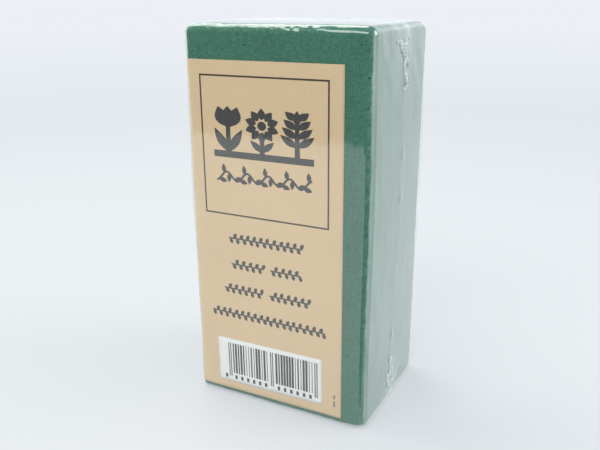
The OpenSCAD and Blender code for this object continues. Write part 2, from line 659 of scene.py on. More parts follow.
def film_material(name, settings, haze, crease, strength, roughness, fades=False):
    """Clear film: it mirrors more the flatter it is looked along, and its creases are milky, partly
    with painted highlights.
    """
    material, g = new_material(name)
    ripples = g.node("ShaderNodeGroup", node_tree=film_ripple_group(), Vector=g.place(),
                     Strength=strength, Pitch=7 * MM, Crease=crease)
    normal = ripples["Normal"]
    aslant = g.node("ShaderNodeLayerWeight", Blend=0.5, Normal=normal)["Facing"]
    one_face = aslant ** 5.0 * (1 - settings.head_on_mirror) + settings.head_on_mirror
    mirror = one_face * 2.0 / (one_face + 1.0)
    gathered = g.attribute("gathered")
    # gathered carries the film's real milkiness round ears and welds, and also painted highlights
    # on the ears' lumps and painted glare on the narrow sides
    milky = gathered * 0.22 + haze + aslant * aslant * settings.slant_haze
    # whiter creases: partly the film's own whitening where it is creased, partly painted highlights
    # on the crumples
    milky = (milky + ripples["Creases"] * 0.25).math("MINIMUM", 0.9)
    if fades:
        shown = gathered.spread(0.02, 0.5)
        milky, mirror = milky * shown, mirror * shown
    solid = mirror + milky
    gloss = g.node("ShaderNodeBsdfPrincipled", Base_Color=(*settings.tint, 1.0), Metallic=1.0,
                   Roughness=roughness, Normal=normal)
    milk = g.node("ShaderNodeBsdfDiffuse", Color=(*settings.haze_colour, 1.0), Normal=normal)
    body = g.node("ShaderNodeMixShader", Fac=milky / solid.math("MAXIMUM", 0.001),
                  i1=gloss[0], i2=milk[0])
    clear = g.node("ShaderNodeBsdfTransparent")
    return surfaced(material, g, g.node("ShaderNodeMixShader", Fac=solid.math("MINIMUM", 1.0),
                                        i1=clear[0], i2=body[0]))


# ---- the film's shape


def ear_places():
    """The middle of each gathered ear: its side, its height, its reach and its node."""
    places = []
    for node in ("ear_top_welded", "ear_bottom_welded", "ear_top_folded", "ear_bottom_folded"):
        lo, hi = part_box(node)
        side = 1 if hi.x > 0 else -1
        top = (lo.z + hi.z) / 2 > FOAM_HI.z / 2
        places.append((node, side, top, lo, hi))
    return places


EARS = ear_places()


# Heights at which the long weld is nicked and has curled up
WELD_NICKS = [FOAM_LO.z + (FOAM_HI.z - FOAM_LO.z) * share for share in (0.19, 0.57, 0.685)]


def weld_line_y(z):
    """The long weld isn't straight: it leans forward towards the bottom, and curls at its foot."""
    share = (z - SIDE_WELD_LO.z) / (SIDE_WELD_HI.z - SIDE_WELD_LO.z)
    lean = (share - 0.73) * 3.8 * MM
    foot = ramp(SIDE_WELD_LO.z - z, 0.0, 24 * MM) * 3.0 * MM
    return WELD_Y + lean - foot + 0.4 * MM * ripple((0, 0, z), 22 * MM, 3.1)


# How far each corner of the block is crushed: its sides, its end and the depth
CORNERS = ((1, -1, 0, 2.4), (1, 1, 0, 1.6), (-1, 1, 0, 1.2), (-1, -1, 1, 0.7), (1, -1, 1, 0.6),
           (1, 1, 1, 0.9), (-1, 1, 1, 0.8))


def crushed_at(p):
    """How far a point near one of the corners is pressed in along the height."""
    shift = 0.0
    for side, back, top, depth in CORNERS:
        z = FOAM_HI.z if top else FOAM_LO.z
        x, y = (FOAM_HI.x if side > 0 else FOAM_LO.x), (FOAM_HI.y if back > 0 else FOAM_LO.y)
        away = math.hypot(p.x - x, p.y - y) / (13 * MM)
        apart = abs(p.z - z) / (13 * MM)
        if away < 1 and apart < 1:
            shift += depth * MM * (1 - away) ** 2 * (1 - apart) ** 2 * (-1 if top else 1)
    return Vector((0, 0, shift))


def squared_foot(p):
    """The brick's weight presses its lower edges less round than the others."""
    inner = Vector([clamp(p[a], FOAM_LO[a] + EDGE_RADIUS, FOAM_HI[a] - EDGE_RADIUS)
                    for a in range(3)])
    away = p - inner
    if away.z >= 0 or away.length < 0.1 * MM:
        return Vector(p)
    bend = 2 * math.hypot(away.x, away.y) * -away.z / away.length_squared
    pressed = inner + away * (1 + 0.22 * bend * bend)
    pressed.z = max(pressed.z, inner.z - away.length)
    return pressed


def film_lift(p, n, settings):
    """How far the film stands off its tight shape at a point with a given outward normal."""
    base = ramp(p.z, FILM_LO.z, FILM_LO.z + 6 * MM)
    lift = settings.slack * (ripple(p, 30 * MM, 1.0) + 0.4 * ripple(p, 11 * MM, 2.0))
    # the sides belly out a little between the waist and the ends
    belly = 0.5 + 0.5 * math.cos((p.z / FOAM_HI.z - 0.6) * math.tau * 1.1)
    lift += settings.belly * belly * abs(n.x) * (1 - 0.3 * abs(p.y) / FILM_HI.y)
    if n.x < -0.3:
        lift += 0.45 * MM * abs(n.x) * max(0.0, ripple((0, p.y * 0.5, p.z), 24 * MM, 15.0))
    # wrinkles across the rounded edges, coarse along the top ones
    edge = ramp(1 - max(abs(n.x), abs(n.y), abs(n.z)), 0.0, 0.15)
    lift += 0.1 * MM * edge * max(0.0, ripple(p, 2.6 * MM, 5.0))
    if n.z > 0.02:
        rim = edge * ramp(n.z, 0.02, 0.2) * (1 - abs(n.x))
        lift += 0.5 * MM * rim * (0.4 + ripple(p, 11 * MM, 4.0) + 0.4 * ripple(p, 3.2 * MM, 3.0))
        lift += 0.16 * MM * rim * ripple(p, 1.7 * MM, 8.0)
    # trapped air under the film on the top
    if n.z > 0.2:
        across = 1 - (p.x / FILM_HI.x) ** 2
        along = 1 - (p.y / FILM_HI.y) ** 2
        lift += settings.pillow * ramp(across, 0.0, 0.6) * ramp(along, 0.0, 0.8) * n.z
        gap = abs(p.y - WELD_Y)
        creases = ripple((p.x * 2.6, gap * 0.4, 0), 7 * MM, 7.0)
        lift += 0.5 * settings.pucker * creases * math.exp(-gap / (9 * MM)) * n.z
    # creases that run into each ear
    for _, side, top, lo, hi in EARS:
        if p.x * side < 0 or (n.x * side < 0.5 and abs(n.z) < 0.5):
            continue
        dy, dz = p.y - (lo.y + hi.y) / 2, p.z - (hi.z if top else lo.z)
        reach, size = math.hypot(dy, dz), hi.z - lo.z
        if reach > 2.5 * size:
            continue
        turn = math.atan2(dz, dy)
        round_it = Vector((math.cos(turn), math.sin(turn), 0)) * 24 * MM
        rays = ripple(round_it + Vector((0, 0, reach * 0.5)), 7 * MM, side)
        fade = math.exp(-reach / (0.7 * size)) * ramp(reach, 0.0, 4 * MM)
        lift += settings.pucker * rays * fade * size / (20 * MM)
        lift += settings.pucker * 0.7 * fade * abs(ripple(p, 2.4 * MM, 9.0 + side))
    # slanting waves near the top of each narrow side
    if abs(n.x) > 0.6:
        high = ramp(p.z, FOAM_HI.z * 0.72, FOAM_HI.z * 0.97)
        lift += 0.22 * MM * high * ripple((0, p.y + p.z * 0.45, p.z * 0.25), 8 * MM, 14.0)
    # puckers across the long weld
    if n.x > 0.7:
        gap = abs(p.y - weld_line_y(p.z))
        lift += 0.05 * MM * ripple((0, gap * 0.5, p.z), 3.2 * MM, 11.0) * math.exp(-gap / (4 * MM))
        lift += 0.06 * MM * math.exp(-gap / (2.2 * MM))
        for nick in WELD_NICKS:
            lift += 0.35 * MM * math.exp(-(gap * gap + (p.z - nick) ** 2) / (1.6 * MM) ** 2)
    return max(lift * base, -0.03 * MM)


def film_surface(p, n, settings):
    return squared_foot(p) + n * film_lift(p, n, settings) + crushed_at(p)


# ---- the foam


def foam_points(settings):
    """The block's points, its normals, its faces, and how crushed each point is."""
    points, normals, faces = rounded_block(
        FOAM_LO, FOAM_HI, settings.edge_radius, settings.mesh_step, 6)
    crushed = []
    for i, (p, n) in enumerate(zip(points, normals)):
        edge = ramp(1 - max(abs(n.x), abs(n.y), abs(n.z)), 0.0, 0.2)
        crumble = 0.5 + 0.5 * ripple(p, 5 * MM, 1.0)
        dents = 0.5 + 0.5 * ripple(p, 26 * MM, 2.0)
        grit = 0.5 + 0.5 * ripple(p, 2.4 * MM, 3.0)
        depth = settings.crush_depth * edge * crumble + settings.dent_depth * dents * 0.6
        depth += 0.05 * MM * grit
        points[i] = squared_foot(p) - n * depth + crushed_at(p)
        crushed.append(edge * (0.4 + 0.6 * crumble))
    return points, faces, crushed


def make_foam(settings):
    points, faces, crushed = foam_points(settings)
    block = mesh_object("foam_block", points, faces)
    point_attribute(block, "crushed", crushed)
    finish_piece(block, foam_material(settings), "phenolic_foam", "foam_brick")
    return block


def crumb_tree():
    """Geometry nodes that scatter small crumbs over the crushed edges of a block."""
    g = geometry_group("Crumbs on the edges", {"Geometry": "Geometry", "Density": "Float",
                                               "Crumb Size": "Float", "Seed": "Int"})
    seed = g.given["Seed"]
    mask = g.node("GeometryNodeInputNamedAttribute", data_type="FLOAT", Name="crushed")
    scatter = g.node("GeometryNodeDistributePointsOnFaces", Mesh=g.given["Geometry"],
                     Density=mask["Attribute"] * g.given["Density"], Seed=seed)
    crumb = g.node("GeometryNodeMeshIcoSphere", Subdivisions=1, Radius=g.given["Crumb Size"])
    size = g.node("FunctionNodeRandomValue", data_type="FLOAT_VECTOR", i0=(0.4, 0.4, 0.4),
                  i1=(1.3, 1.3, 0.9), Seed=seed)
    turn = g.node("FunctionNodeRandomValue", data_type="FLOAT_VECTOR", i1=[math.tau] * 3,
                  Seed=seed)
    crumbs = g.node("GeometryNodeInstanceOnPoints", Points=scatter["Points"],
                    Instance=crumb["Mesh"], Scale=size[0], Rotation=turn[0])
    return g.finish_geometry(crumbs[0])


# ---- outlines on the label


def leaf_outline(x, z, angle, length, width, steps=10):
    """A pointed leaf that grows from (x, z) at an angle from straight up."""
    base = Vector((x, z))
    along = Vector((math.sin(angle), math.cos(angle)))
    across = Vector((along.y, -along.x))
    sides = []
    for sign in (1, -1):
        for i in range(steps):
            t = i / steps if sign > 0 else 1 - i / steps
            bulge = math.sin(math.pi * t ** 0.85) * width / 2
            sides.append(tuple(base + along * length * t + across * bulge * sign))
    return sides


def disc_outline(x, z, radius, steps=28):
    turns = evenly(0.0, math.tau, steps)[:-1]
    return [(x + radius * math.cos(turn), z + radius * math.sin(turn)) for turn in turns]


def ribbon_outline(points, widths):
    """A stroke along points, with a width at each."""
    left, right = [], []
    for i, (p, w) in enumerate(zip(points, widths)):
        a = Vector(points[max(0, i - 1)])
        b = Vector(points[min(len(points) - 1, i + 1)])
        along = (b - a).normalized()
        across = Vector((-along.y, along.x)) * w / 2
        left.append(tuple(Vector(p) + across))
        right.append(tuple(Vector(p) - across))
    return left + right[::-1]


def bar_outline(x0, z0, x1, z1):
    return [(x0, z0), (x1, z0), (x1, z1), (x0, z1)]


def label_frame_outlines(settings):
    """The four sides of the printed square, as separate strokes that meet at the corners."""
    side, line = settings.frame_side, settings.frame_line
    x0 = LABEL_MID.x + settings.frame_shift - side / 2
    z1 = LABEL_HI.z - settings.frame_top_gap
    x1, z0 = x0 + side, z1 - side
    return [
        bar_outline(x0, z0, x1, z0 + line),
        bar_outline(x0, z1 - line, x1, z1),
        bar_outline(x0, z0 + line, x0 + line, z1 - line),
        bar_outline(x1 - line, z0 + line, x1, z1 - line),
    ]


def widened(outlines, x, factor):
    """The same outlines, drawn wider about an upright line."""
    return [[(x + (px - x) * factor, pz) for px, pz in outline] for outline in outlines]


def stem(x, z0, z1, width, bow=0.0):
    """A stem from z0 up to z1, bowed sideways."""
    steps = 9
    points = [(x + bow * math.sin(math.pi * i / (steps - 1)), z0 + (z1 - z0) * i / (steps - 1))
              for i in range(steps)]
    return ribbon_outline(points, [width * (1 - 0.25 * i / (steps - 1)) for i in range(steps)])


def tulip(x, foot, head, stroke):
    """A tulip with two long leaves."""
    cup = head - 10 * MM
    shapes = [stem(x, foot, cup + 1 * MM, stroke)]
    for turn in (-0.42, 0.0, 0.42):
        shapes.append(leaf_outline(x + turn * 3 * MM, cup, turn * 0.62, 10 * MM, 5.6 * MM))
    shapes.append(disc_outline(x, cup + 3.2 * MM, 3.5 * MM))
    for sign in (-1, 1):
        shapes.append(leaf_outline(x + sign * stroke * 0.2, foot, sign * 0.42, 12.5 * MM,
                                   3.6 * MM))
    return shapes


def daisy(x, foot, head, stroke):
    """A daisy with round petals and two short leaves."""
    reach, core = 8.6 * MM, 2.9 * MM
    middle = head - reach
    shapes = [stem(x, foot, middle - 5 * MM, stroke)]
    for turn in evenly(0.0, math.tau, 10)[:-1]:
        shapes.append(leaf_outline(x + math.sin(turn) * core, middle + math.cos(turn) * core,
                                   turn, reach - core, 3.9 * MM))
    shapes.append(disc_outline(x, middle, 2.2 * MM))
    for sign in (-1, 1):
        shapes.append(leaf_outline(x, foot + 1.2 * MM, sign * 0.85, 8 * MM, 3.2 * MM))
    return shapes


def sprig(x, foot, head, stroke):
    """An upright sprig with pairs of leaves and one at its tip."""
    shapes = [stem(x, foot, head - 5 * MM, stroke)]
    for i in range(4):
        for sign in (-1, 1):
            shapes.append(leaf_outline(x + sign * stroke * 0.2, foot + 5 * MM + i * 4.3 * MM,
                                       sign * 0.86, (8.6 - 0.9 * i) * MM, 3.5 * MM))
    shapes.append(leaf_outline(x, head - 7 * MM, 0.0, 7 * MM, 3.4 * MM))
    return shapes


def emblem_outlines():
    """Three plants that stand in a block, about as wide and as bold as three large letters."""
    middle = LABEL_MID.x
    block_top = LABEL_LO.z + 136.3 * MM
    foot, head = block_top - 0.2 * MM, LABEL_LO.z + 158.6 * MM
    half, spacing = 28 * MM, 19.2 * MM
    shapes = []
    for plant, x, stroke, wider in ((tulip, middle - spacing, 2.2 * MM, 1.45),
                                    (daisy, middle, 2.6 * MM, 1.12),
                                    (sprig, middle + spacing, 2.2 * MM, 1.3)):
        shapes += widened(plant(x, foot, head, stroke), x, wider)
    shapes.append(bar_outline(middle - half, block_top - 3.4 * MM, middle + half, block_top))
    return shapes


def tendril_outlines():
    """A wavy tendril with small leaves, where a subtitle would be."""
    z = LABEL_LO.z + 123.2 * MM
    half, height, waves, leaves = 27 * MM, 2.3 * MM, 4.5 * math.pi, 18

    def on_wave(t):
        return LABEL_MID.x + half * t, z + height * math.sin(waves * t)

    line = [on_wave(t) for t in evenly(-1, 1, 96)]
    shapes = [ribbon_outline(line, [1.1 * MM] * len(line))]
    for i in range(leaves):
        t = (2 * i + 1) / leaves - 1
        slope = height * waves / half * math.cos(waves * t)
        side = 1 if i % 2 else -1
        turn = math.pi / 2 - math.atan(slope) - side * 0.95
        shapes.append(leaf_outline(*on_wave(t), turn, 4.8 * MM, 2.5 * MM))
    return shapes


def code_outlines():
    """A few small dashes up the label's lower right edge."""
    x, start, pitch = LABEL_HI.x - 4.4 * MM, LABEL_LO.z + 6 * MM, 1.2 * MM
    return [bar_outline(x, start + i * pitch, x + 1.1 * MM, start + i * pitch + 0.7 * MM)
            for i in range(6) if i != 3]


# ---- the label


def front_face_y(x, z, proud):
    """Depth of a sheet that lies a given distance off the foam's front, bent round its edges."""
    centre_x = clamp(x, FOAM_LO.x + EDGE_RADIUS, FOAM_HI.x - EDGE_RADIUS)
    centre_z = clamp(z, FOAM_LO.z + EDGE_RADIUS, FOAM_HI.z - EDGE_RADIUS)
    out = EDGE_RADIUS + proud
    fall = out * out - (x - centre_x) ** 2 - (z - centre_z) ** 2
    return FOAM_LO.y + EDGE_RADIUS - math.sqrt(max(0.0, fall))


def front_sheet(name, lo, hi, proud, thickness, step, turn, frayed=0.0):
    """A sheet on the front face, turned a little, with slightly uneven edges and square corners."""
    placed = turned_about((lo + hi) / 2, turn)
    wide = round((hi.x - lo.x) / step)
    tall = round((hi.z - lo.z) / step)
    points = []
    for j, edge_z in enumerate(evenly(lo.z, hi.z, tall)):
        for i, edge_x in enumerate(evenly(lo.x, hi.x, wide)):
            x, z = edge_x, edge_z
            if i in (0, wide):
                x += frayed * ripple((i, 0, z), 3 * MM, 4.0)
            if j in (0, tall):
                z += frayed * ripple((x, 0, j), 3 * MM, 6.0)
            at = placed @ Vector((x, lo.y, z))
            points.append(squared_foot(Vector((at.x, front_face_y(at.x, at.z, proud), at.z))))
    return sheet_object(name, points, wide, tall, thickness)


def leaf_row_tree():
    """Geometry nodes for one row of small leaves on a thin stem, with an optional gap."""
    g = geometry_group("Row of leaves", {
        "Centre": "Vector", "Row Width": "Float", "Count": "Int", "Leaf Length": "Float",
        "Leaf Width": "Float", "Tilt": "Float", "Stem Width": "Float", "Thickness": "Float",
        "Gap": "Float", "Gap Place": "Float", "Seed": "Int"})
    given = g.given
    half = given["Row Width"] * 0.5
    ends = [g.node("ShaderNodeVectorMath", operation="ADD", i0=given["Centre"],
                   i1=g.vector(reach))[0] for reach in (half * -1.0, half)]
    line = g.node("GeometryNodeMeshLine", mode="END_POINTS", Count=given["Count"],
                  Start_Location=ends[0], Offset=ends[1])[0]

    # one leaf: a thin round plate whose sides are drawn in to two points
    plate = g.node("GeometryNodeMeshCylinder", fill_type="NGON", Vertices=16, Radius=1.0,
                   Depth=given["Thickness"])
    at = g.node("ShaderNodeSeparateXYZ", Vector=g.node("GeometryNodeInputPosition")[0])
    across = at["X"] * abs(at["X"]) * (given["Leaf Width"] * 0.5)
    along = (at["Y"] + 1.0) * (given["Leaf Length"] * 0.5)
    leaf = g.node("GeometryNodeSetPosition", Geometry=plate["Mesh"],
                  Position=g.vector(across, along, at["Z"]))

    # every other leaf leans the other way and points down
    side = g.node("GeometryNodeInputIndex")[0].math("MODULO", 2.0) * 2.0 - 1.0
    wobble = g.node("FunctionNodeRandomValue", data_type="FLOAT", i2=-0.16, i3=0.16,
                    Seed=given["Seed"])
    lean = math.pi / 2 - side * given["Tilt"] + wobble[1]

    # a short length of stem at every leaf
    pitch = given["Row Width"] / (given["Count"] - 1.0).math("MAXIMUM", 1.0)
    twig = g.node("GeometryNodeMeshCube",
                  Size=g.vector(pitch, given["Thickness"] * 0.7, given["Stem Width"]))

    keep = g.node("FunctionNodeCompare", data_type="FLOAT", operation="GREATER_EQUAL",
                  i0=abs(at["X"] - given["Gap Place"]), i1=given["Gap"] * 0.5)[0]
    twigs = g.node("GeometryNodeInstanceOnPoints", Points=line, Selection=keep,
                   Instance=twig["Mesh"])
    leaves = g.node("GeometryNodeInstanceOnPoints", Points=line, Selection=keep,
                    Instance=leaf[0], Rotation=g.vector(math.pi / 2, lean))
    both = g.node("GeometryNodeJoinGeometry", Geometry=twigs[0])
    g.put(both.node.inputs[0], leaves[0])
    return g.finish_geometry(both[0])


def make_leaf_rows(settings, ink):
    """Four centred rows of leaves, each as wide as a line of words would be."""
    tree = leaf_row_tree()
    y = LABEL_LO.y - settings.ink_thickness / 2
    # width of the row, its height on the label, its gap, and the gap's place from the middle
    rows = ((41, 90.2, 0.0, 0.0), (39, 75.7, 3.6, 1.6), (49, 61.5, 3.6, 0.8), (66, 46.9, 0.0, 0.0))
    made = []
    for number, (width, height, gap, gap_place) in enumerate(rows):
        made.append(run_tree(
            empty_object(f"row_{number}"), tree, f"row_{number}",
            Centre=(LABEL_MID.x, y, LABEL_LO.z + height * MM), Row_Width=width * MM,
            Count=round(width / 1.9), Leaf_Length=3.2 * MM, Leaf_Width=2.1 * MM,
            Tilt=1.1, Stem_Width=0.8 * MM, Thickness=settings.ink_thickness, Gap=gap * MM,
            Gap_Place=LABEL_MID.x + gap_place * MM, Seed=number, Material=ink))
    return joined(made, "label_leaf_rows")


# ---- the barcode sticker


def bar_tree():
    """Geometry nodes for a row of upright bars whose widths are drawn by a fixed seed."""
    g = geometry_group("Row of bars", {"Start": "Vector", "End": "Vector", "Count": "Int",
                                       "Bar Size": "Vector", "Widest": "Int", "Seed": "Int"})
    given = g.given
    line = g.node("GeometryNodeMeshLine", mode="END_POINTS", Count=given["Count"],
                  Start_Location=given["Start"], Offset=given["End"])
    bar = g.node("GeometryNodeMeshCube", Size=given["Bar Size"])
    wide = g.node("FunctionNodeRandomValue", data_type="INT", i4=1, i5=given["Widest"],
                  Seed=given["Seed"])
    bars = g.node("GeometryNodeInstanceOnPoints", Points=line[0], Instance=bar["Mesh"],
                  Scale=g.vector(wide[2], 1.0, 1.0))
    return g.finish_geometry(bars[0])


def make_bars(settings, ink, thickness):
    """Two halves of bars between three pairs of longer guard bars, and marks for the digits."""
    tree = bar_tree()
    y = STICKER_LO.y - thickness / 2
    top = STICKER_HI.z - 2.6 * MM
    right = STICKER_HI.x - 2.8 * MM
    left = right - settings.bar_field_width
    middle = (left + right) / 2
    module = settings.bar_field_width / 95
    height = settings.bar_height
    guard = height + 2.2 * MM
    marks = (1.5 * MM, 2.3 * MM), top - height - 2.4 * MM, 1, 0
    made = []

    def row(name, x0, x1, count, size, z, widest, seed):
        made.append(run_tree(
            empty_object(name), tree, name, Start=(x0, y, z), End=(x1, y, z), Count=count,
            Bar_Size=(size[0], thickness, size[1]), Widest=widest, Seed=seed, Material=ink))

    for number, x in enumerate((left + module, middle, right - module)):
        row(f"guards_{number}", x - module, x + module, 2, (module, guard), top - guard / 2, 1, 0)
    for number, (x0, x1) in enumerate(((left, middle), (middle, right))):
        row(f"bars_{number}", x0 + 5 * module, x1 - 5 * module, settings.bars_a_half,
            (module * 0.72, height), top - height / 2, 3, settings.seed + number)
        row(f"marks_{number}", x0 + 7 * module, x1 - 7 * module, 6, *marks)
    row("first_mark", left - 4 * module, left - 4 * module, 1, *marks)
    return joined(made, "sticker_bars")


# ---- film pieces


def make_film(settings, material):
    points, normals, faces = rounded_block(
        FILM_LO, FILM_HI, EDGE_RADIUS + FILM_HI.x - FOAM_HI.x, settings.mesh_step, 7)
    made = [film_surface(p, n, settings) for p, n in zip(points, normals)]
    gathered = []
    for p, n in zip(points, normals):
        share = 0.0
        for _, side, top, lo, hi in EARS:
            centre = Vector((hi.x if side > 0 else lo.x, (lo.y + hi.y) / 2, hi.z if top else lo.z))
            share = max(share, math.exp(-((p - centre).length / (0.6 * (hi.z - lo.z))) ** 2))
        if n.z > 0.7:
            share = max(share, 0.6 * math.exp(-abs(p.y - WELD_Y) / (3 * MM)))
        bound = 0.12 * ripple(p, 9 * MM, 12.0)
        # the narrow sides, most of all +X and the rounded edges into it, get a milky veil: partly
        # haze of the loose film, partly painted glare
        loose = settings.side_haze_and_glare * (0.9 + 0.35 * ripple((0, p.y, p.z * 0.3), 7 * MM, 13.0))
        side_on = n.x + bound if n.x > 0 else 0.6 * -n.x
        drawn = 1.5 * (1 - ramp(n.x, 0.88, 1.0)) if n.x > 0 else 0.0
        gathered.append(0.6 * share + loose * ramp(side_on, 0.68, 0.84) * (1 + drawn))
    film = mesh_object("film_wrap", made, faces)
    point_attribute(film, "gathered", gathered)
    return finish_piece(film, material, "clear_film", "shrink_film")


def bead(name, line, up, radii, sides=10):
    """A closed bead along line, oval in section: flat on the film and raised towards up."""
    points, faces = [], []
    last = len(line) - 1
    for i, (p, r) in enumerate(zip(line, radii)):
        along = (line[min(last, i + 1)] - line[max(0, i - 1)]).normalized()
        side = along.cross(up).normalized()
        for k in range(sides):
            turn = math.tau * k / sides
            points.append(p + side * math.cos(turn) * r * 1.25 + up * math.sin(turn) * r)
    for i in range(last):
        for k in range(sides):
            a, b = i * sides + k, i * sides + (k + 1) % sides
            faces.append((a, b, b + sides, a + sides))
    faces.append(tuple(range(sides))[::-1])
    faces.append(tuple(last * sides + k for k in range(sides)))
    return mesh_object(name, points, faces)


def bead_radii(line, radius, seed, nicks=()):
    """A bead's radius along it: lumpy, with thin places, curled nicks and tapered ends."""
    last = len(line) - 1
    radii = []
    for i, p in enumerate(line):
        lumps = 0.75 + 0.35 * ripple(p, 2.2 * MM, seed) + 0.35 * ripple(p, 9 * MM, seed + 2)
        ends = min(1.0, (min(i, last - i) + 0.4) / 5)
        curl = sum(math.exp(-((p.z - nick) / (0.8 * MM)) ** 2) for nick in nicks)
        radii.append(radius * (max(0.25, lumps) + 2.2 * curl) * ends)
    return radii


def make_welds(settings, material):
    """The bead up the side from ear to ear, the one over the top, and the flat one below."""
    out, up = Vector((1, 0, 0)), Vector((0, 0, 1))
    flat = 0.13 * MM

    def wander(x, seed):
        return WELD_Y + 0.4 * MM * ripple((x, 0, 0), 16 * MM, seed)

    side = [film_surface(Vector((FILM_HI.x, weld_line_y(z), z)), out, settings)
            for z in evenly(SIDE_WELD_LO.z - 2 * MM, SIDE_WELD_HI.z + 2 * MM, 260)]
    top = [film_surface(Vector((x, wander(x, 8.0), FILM_HI.z)), up, settings)
           for x in evenly(TOP_WELD_LO.x, TOP_WELD_HI.x, 160)]
    bottom = [Vector((x, wander(x, 9.0), flat * 1.25))
              for x in evenly(BOTTOM_WELD_LO.x, BOTTOM_WELD_HI.x, 120)]
    for name, line, facing, radius, seed, nicks in (
            ("side", side, out, settings.bead_radius, 1.0, WELD_NICKS),
            ("top", top, up, settings.bead_radius * 1.2, 2.0, ()),
            ("bottom", bottom, up, flat, 3.0, ())):
        weld = bead("weld_" + name, line, facing, bead_radii(line, radius, seed, nicks))
        finish_piece(weld, material, "film_weld", name + "_weld")


def make_ear(node, side, top, lo, hi, settings, material):
    """A gathered ear: film crumpled into small lumps, most of them towards its wide end."""
    pulled = top and side > 0  # the ear that is pulled out longer and towards the front
    width, height = hi.y - lo.y, (hi.z - lo.z) * (1.28 if pulled else 1)
    out = Vector((side, 0, 0))
    middle = (lo.y + hi.y) / 2
    step = 0.3 * MM
    wide, tall = round(width / step), round(height / step)
    points, gathered = [], []
    for j in range(tall + 1):
        v = j / tall  # 0 at the tip, 1 at the wide end
        z = hi.z - height * (1 - v) if top else lo.z + height * (1 - v)
        half = width / 2 * (0.16 + 0.84 * v ** 0.9)
        if pulled:
            half = width / 2 * (0.5 + 0.8 * ramp(v, 0.6, 1.0))
        half *= 1 + 0.3 * ripple((0, 0, z), 3.5 * MM, 21.0 + side)
        centre = weld_line_y(z) if side > 0 else middle
        centre += (middle - 2.5 * MM - centre) * v
        if pulled:
            centre = weld_line_y(z) - 5.5 * MM * ramp(v, 0.55, 0.95)
        for i in range(wide + 1):
            u = 2 * i / wide - 1
            y = centre + u * half
            ragged = 0.3 * ripple((y, z, side), 3 * MM, 17.0)
            rim = ramp(1 - abs(u) + ragged, 0.05, 0.6) * ramp(v, 0.0, 0.12)
            rim *= ramp(1 - v + 0.3 * ragged, 0.0, 0.16)
            lumps = abs(ripple((y, z * 0.8, side), 2.3 * MM, 6.0))
            grit = abs(ripple((y, z, side), 1.1 * MM, 8.0))
            if pulled:
                here = rim * ramp(ripple((y, z, side), 3.2 * MM, 31.0) + 0.3 * v, -0.15, 0.15)
                bumps = 2.0 * lumps + 2.6 * grit
            else:
                here = rim * ramp(ripple((y, z, side), 4.0 * MM, 24.0) + 0.25 * v, -0.3, 0.1)
                pleat = 1 - abs(math.sin(5 * u + 3.0 * ripple((y, z, side), 5 * MM, 2.0)))
                bumps = 0.25 * pleat ** 2 + 1.5 * lumps + 1.2 * grit
            rise = settings.pleat_height * here * bumps
            foot = film_surface(Vector((FILM_HI.x * side, y, z)), out, settings)
            points.append(foot + out * (rise + 0.02 * MM - 0.06 * MM * (1 - ramp(rim, 0.0, 0.1))))
            # milkier on the raised lumps and grit: partly the real whitening of crumpled film,
            # partly painted highlights on the crests
            gathered.append(min(1.0, here * (0.15 + 2.2 * lumps + 2.0 * grit)))
    flap = sheet_object("gather_" + node[4:], points, wide, tall, 0.04 * MM,
                        turned_over=(side > 0) != top, gathered=gathered)
    return finish_piece(flap, material, "gathered_film", node)


# ---- the stage


def floor_material(settings):
    """A pale table that runs into the backdrop. A mirroring ray sees where the room is dark."""
    material, g = new_material("Pale table")
    where = g.node("ShaderNodeSeparateXYZ", Vector=g.node("ShaderNodeNewGeometry")["Position"])
    x, y = where["X"], where["Y"]
    front, right = FOAM_LO.y - settings.table_front, FOAM_HI.x
    beside = x.spread(right, right + 0.01) * (y + x * 0.5).spread(-0.02, -0.03)
    unlit = y.spread(front, front - 0.01).math("MAXIMUM", beside)
    dark = unlit * g.node("ShaderNodeLightPath")["Is Glossy Ray"]
    base = settings.floor_colour
    shade = g.blend(g.noise(g.place(), 0.6).spread(0.3, 0.7), base, shaded(base, 0.985))
    shade = g.blend(dark, shade, (0.03, 0.03, 0.03))
    skin = g.node("ShaderNodeBsdfDiffuse", Color=shade)
    reach = (x * x + y * y).math("SQRT")
    away = reach.spread(0.15, 1.6, 0.45, 1.0, interpolation_type="SMOOTHSTEP")
    glow = g.blend(reach.spread(0.8, 4.0), TABLE_GLOW, BACKDROP)
    sheet = g.node("ShaderNodeEmission", Color=glow, Strength=1.0)
    return surfaced(material, g, g.node("ShaderNodeMixShader", Fac=away * (1.0 - dark),
                                        i1=skin[0], i2=sheet[0]))


def link_object(name, data, matrix):
    """Adds a light or a camera to the scene."""
    obj = bpy.data.objects.new(name, data)
    obj.matrix_world = matrix
    bpy.context.scene.collection.objects.link(obj)
    return obj


def area_light(name, place, target, size, power, colour):
    lamp = bpy.data.lights.new(name, "AREA")
    lamp.shape = "RECTANGLE"
    lamp.size, lamp.size_y = size
    lamp.energy = power
    lamp.color = colour
    facing = (Vector(target) - Vector(place)).to_track_quat("-Z", "Y").to_matrix().to_4x4()
    link_object(name, lamp, Matrix.Translation(place) @ facing)


def room_world():
    """A pale backdrop to look at. What the film mirrors is pale behind and dark in front."""
    world = bpy.data.worlds.new("Room")
    world.use_nodes = True
    g = Graph(world.node_tree)
    where = g.node("ShaderNodeSeparateXYZ", Vector=g.node("ShaderNodeTexCoord")["Generated"])
    pale = where["Y"].spread(-0.35, 0.1) * where["Z"].spread(0.85, 0.5)
    mirrored = g.blend(pale, (0.04, 0.045, 0.045), BACKDROP)
    lit = g.blend(where["Z"].spread(-0.2, 0.6), (0.76, 0.79, 0.81), (0.78, 0.84, 0.92))
    seen_by = g.node("ShaderNodeLightPath")
    colour = g.blend(seen_by["Is Glossy Ray"], lit, mirrored)
    colour = g.blend(seen_by["Is Camera Ray"], colour, BACKDROP)
    shine = g.node("ShaderNodeBackground", Color=colour, Strength=1.0)
    g.node("ShaderNodeOutputWorld", Surface=shine[0])
    bpy.context.scene.world = world


